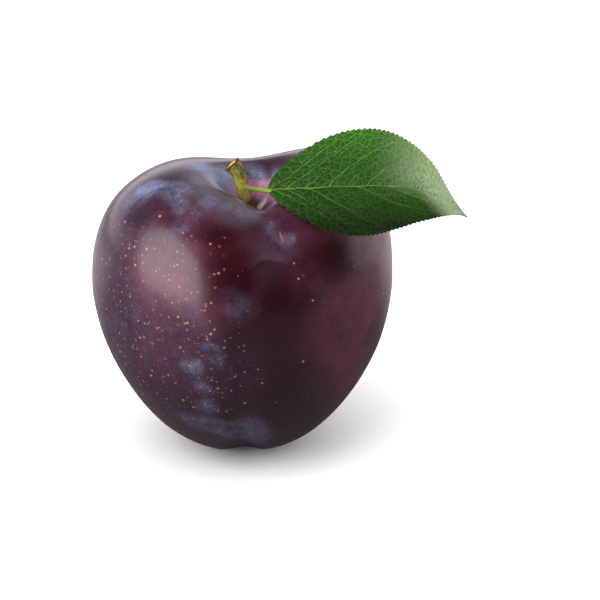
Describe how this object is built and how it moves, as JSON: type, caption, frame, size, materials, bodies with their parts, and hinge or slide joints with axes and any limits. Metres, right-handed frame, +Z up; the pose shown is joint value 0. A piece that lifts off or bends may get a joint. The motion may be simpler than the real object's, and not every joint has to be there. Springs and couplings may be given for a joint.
{
  "type": "plum",
  "caption": "Ripe dark purple plum with a heart-shaped body, a deep stalk cavity, a short cut stalk and a green leaf, standing on a small flat spot.",
  "frame": {"origin": "middle of the small flat spot under the tip of the fruit, on the surface that it stands on", "axes": "+Z up through the fruit to its stalk, +X the way the leaf points, -Y the side with the seam"},
  "size_m": [0.0716, 0.0574, 0.0687],
  "materials": {
    "plum_skin": "satin",
    "stalk_bark": "matte",
    "leaf_blade": "satin"
  },
  "bodies": {
    "root": {"plum_fruit": "plum_skin", "stalk": "stalk_bark", "leaf": "leaf_blade"}
  },
  "joints": []
}
